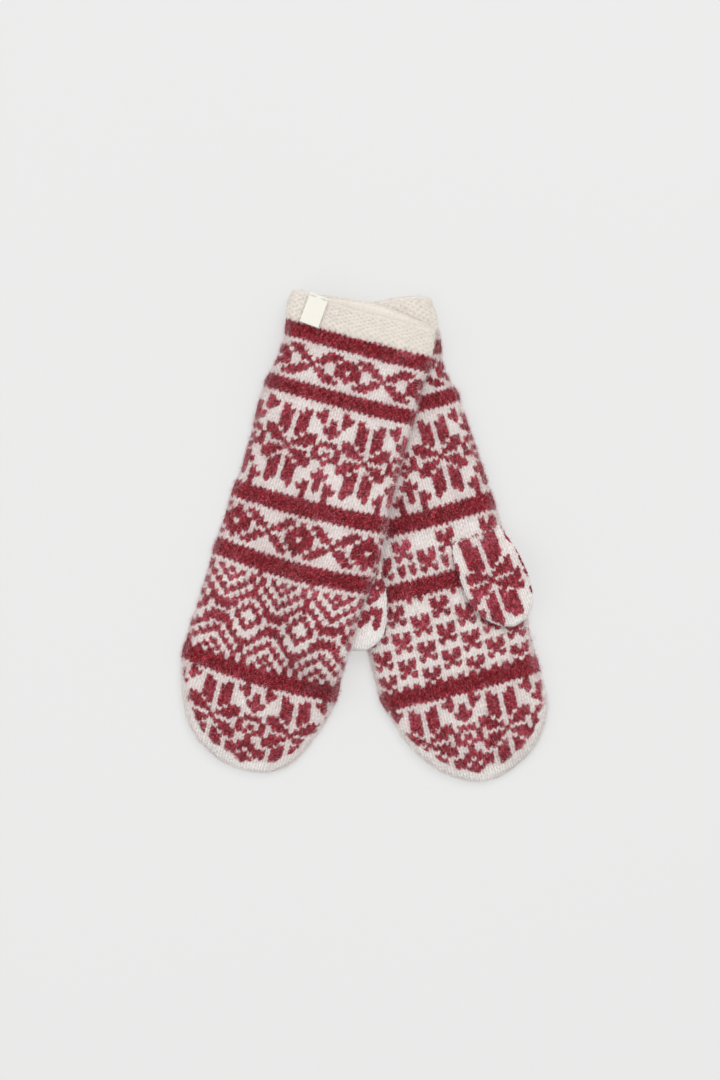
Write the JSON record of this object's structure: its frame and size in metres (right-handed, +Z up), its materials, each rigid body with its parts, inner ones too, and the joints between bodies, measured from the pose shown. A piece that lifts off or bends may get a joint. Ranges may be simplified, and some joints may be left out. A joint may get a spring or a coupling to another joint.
{
  "type": "knitted mittens",
  "caption": "Pair of long brushed-wool mittens in stranded two-colour knitting, lying flat and crossed at the cream cuffs, with folding thumbs and a small folded woven label.",
  "frame": {"origin": "middle of the laid-out pair's footprint, on the surface it lies on", "axes": "+Z up off the surface; +Y from the fingertips towards the cuffs, along the pair; +X towards the left mitten, across the pair"},
  "size_m": [0.2126, 0.2868, 0.0284],
  "materials": {
    "patterned_knit": "brushed stranded knitting, madder red on cream, matt with a fine halo",
    "cream_knit": "brushed cream purl knitting, matt",
    "cream_yarn": "matt plied wool yarn",
    "woven_label": "fine woven ribbon with a slight sheen",
    "sewing_thread": "fine twisted thread"
  },
  "bodies": {
    "left_mitten": {"left_hand_shell": "patterned_knit", "left_cuff_band": "cream_knit", "left_cast_on_edge": "cream_knit", "left_thumb_join_yarn": "cream_yarn", "left_tip_closing_yarn": "cream_yarn", "left_cuff_yarn_tail": "cream_yarn"},
    "left_thumb": {"left_thumb_shell": "patterned_knit", "left_thumb_tip_yarn": "cream_yarn"},
    "right_mitten": {"right_hand_shell": "patterned_knit", "right_cuff_band": "cream_knit", "right_cast_on_edge": "cream_knit", "right_thumb_join_yarn": "cream_yarn", "right_tip_closing_yarn": "cream_yarn", "right_cuff_yarn_tail": "cream_yarn"},
    "right_thumb": {"right_thumb_shell": "patterned_knit", "right_thumb_tip_yarn": "cream_yarn"},
    "label": {"right_cuff_label": "woven_label", "label_stitch_left": "sewing_thread", "label_stitch_right": "sewing_thread"}
  },
  "joints": [
    {"name": "right_mitten_lift", "type": "slide", "parent": "left_mitten", "child": "right_mitten", "axis": [0, 0, 1], "range_m": [0, 0.12]},
    {"name": "left_thumb_lift", "type": "hinge", "parent": "left_mitten", "child": "left_thumb", "pos_m": [0.0611, 0.00783, 0.0094], "axis": [-0.9171, -0.3987, 0], "range_deg": [0, 70]},
    {"name": "right_thumb_swing", "type": "hinge", "parent": "right_mitten", "child": "right_thumb", "pos_m": [-0.00242, -0.01391, 0.0145], "axis": [0, 0, 1], "range_deg": [0, 25]},
    {"name": "label_flip", "type": "hinge", "parent": "right_mitten", "child": "label", "pos_m": [-0.02688, 0.13821, 0.0202], "axis": [-0.9397, 0.342, 0], "range_deg": [0, 90]}
  ]
}
